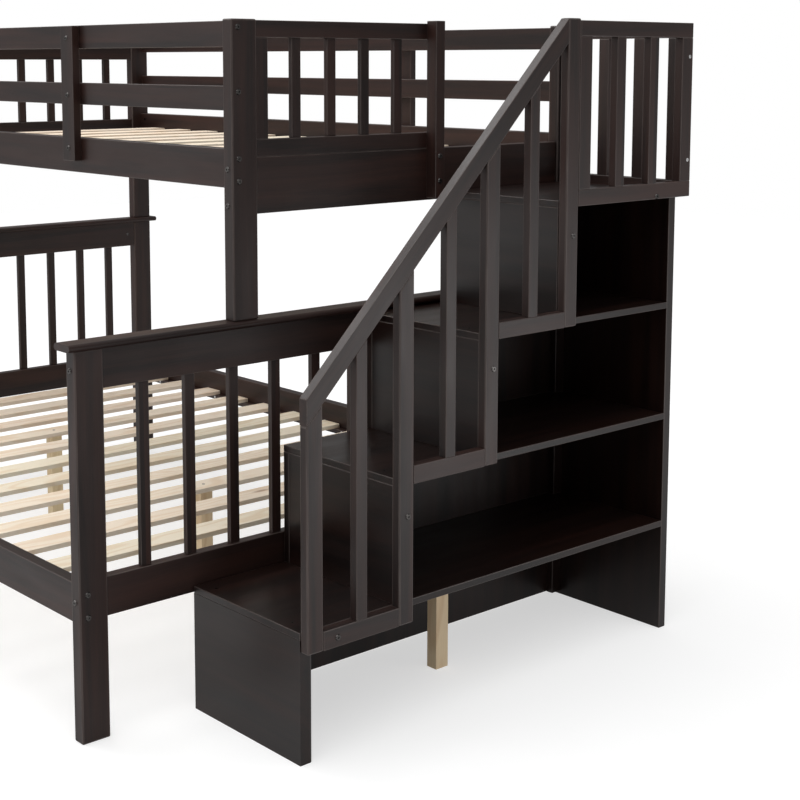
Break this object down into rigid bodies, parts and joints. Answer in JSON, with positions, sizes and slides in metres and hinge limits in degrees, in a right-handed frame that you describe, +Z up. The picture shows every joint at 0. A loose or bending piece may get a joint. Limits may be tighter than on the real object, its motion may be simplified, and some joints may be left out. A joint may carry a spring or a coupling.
{
  "type": "bunk bed with storage stair",
  "caption": "Wooden bunk bed, wide lower and narrow upper bunk, slatted bases, spindle ends, guard rails, and an end stair with open shelves and a handrail.",
  "frame": {"origin": "on the floor, under the middle of the whole outline", "axes": "+Z up, +X along the bed towards the stair at the foot end, +Y from the open front towards the wall side"},
  "size_m": [2.3824, 1.486, 1.449],
  "materials": {
    "bed_wood": "dark espresso stain under satin lacquer",
    "stair_wood": "dark espresso stain under satin lacquer, boards",
    "guard_wood": "dark espresso stain under satin lacquer, guard sticks",
    "pine": "planed bare pine",
    "dowel_wood": "plain hardwood dowel",
    "dark_steel": "black oxide steel with a low sheen",
    "bright_steel": "zinc-plated steel"
  },
  "bodies": {
    "root": {"low_post_foot_front": "bed_wood", "low_post_foot_wall": "bed_wood", "low_post_head_front": "bed_wood", "low_post_head_wall": "bed_wood", "up_post_foot_front": "bed_wood", "up_post_foot_wall": "bed_wood", "up_post_head_front": "bed_wood", "up_post_head_wall": "bed_wood", "cap_foot": "bed_wood", "cap_head": "bed_wood", "low_top_rail_foot": "bed_wood", "low_top_rail_head": "bed_wood", "low_bottom_rail_foot": "bed_wood", "low_bottom_rail_head": "bed_wood", "low_spindles_foot": "bed_wood", "low_spindles_head": "bed_wood", "end_board_foot": "bed_wood", "end_board_head": "bed_wood", "low_side_rail_front": "bed_wood", "low_side_rail_wall": "bed_wood", "up_side_rail_front": "bed_wood", "up_side_rail_wall": "bed_wood", "guard_rails_front": "bed_wood", "guard_rails_wall": "bed_wood", "guard_braces": "bed_wood", "slat_cleats": "bed_wood", "head_top_rail": "bed_wood", "head_spindles": "bed_wood", "foot_guard_rails": "bed_wood", "foot_guard_uprights": "bed_wood", "entrance_stile": "bed_wood", "riser_1": "stair_wood", "riser_2": "stair_wood", "riser_3": "stair_wood", "riser_4": "stair_wood", "tread_1": "stair_wood", "tread_2": "stair_wood", "tread_3": "stair_wood", "landing": "stair_wood", "side_panels": "stair_wood", "rear_panel": "stair_wood", "stair_battens": "stair_wood", "stair_posts": "guard_wood", "stair_rails": "guard_wood", "stair_spindles": "guard_wood", "handrail": "guard_wood", "outer_guard_rails": "guard_wood", "outer_guard_uprights": "guard_wood", "wall_guard_rails": "guard_wood", "wall_guard_uprights": "guard_wood", "low_slats": "pine", "up_slats": "pine", "centre_legs": "pine", "stair_leg": "pine", "cap_dowels": "dowel_wood", "frame_bolts": "dark_steel", "stair_bolts": "dark_steel", "dark_screws": "dark_steel", "cross_nuts": "dark_steel", "bright_screws": "bright_steel"}
  },
  "joints": []
}
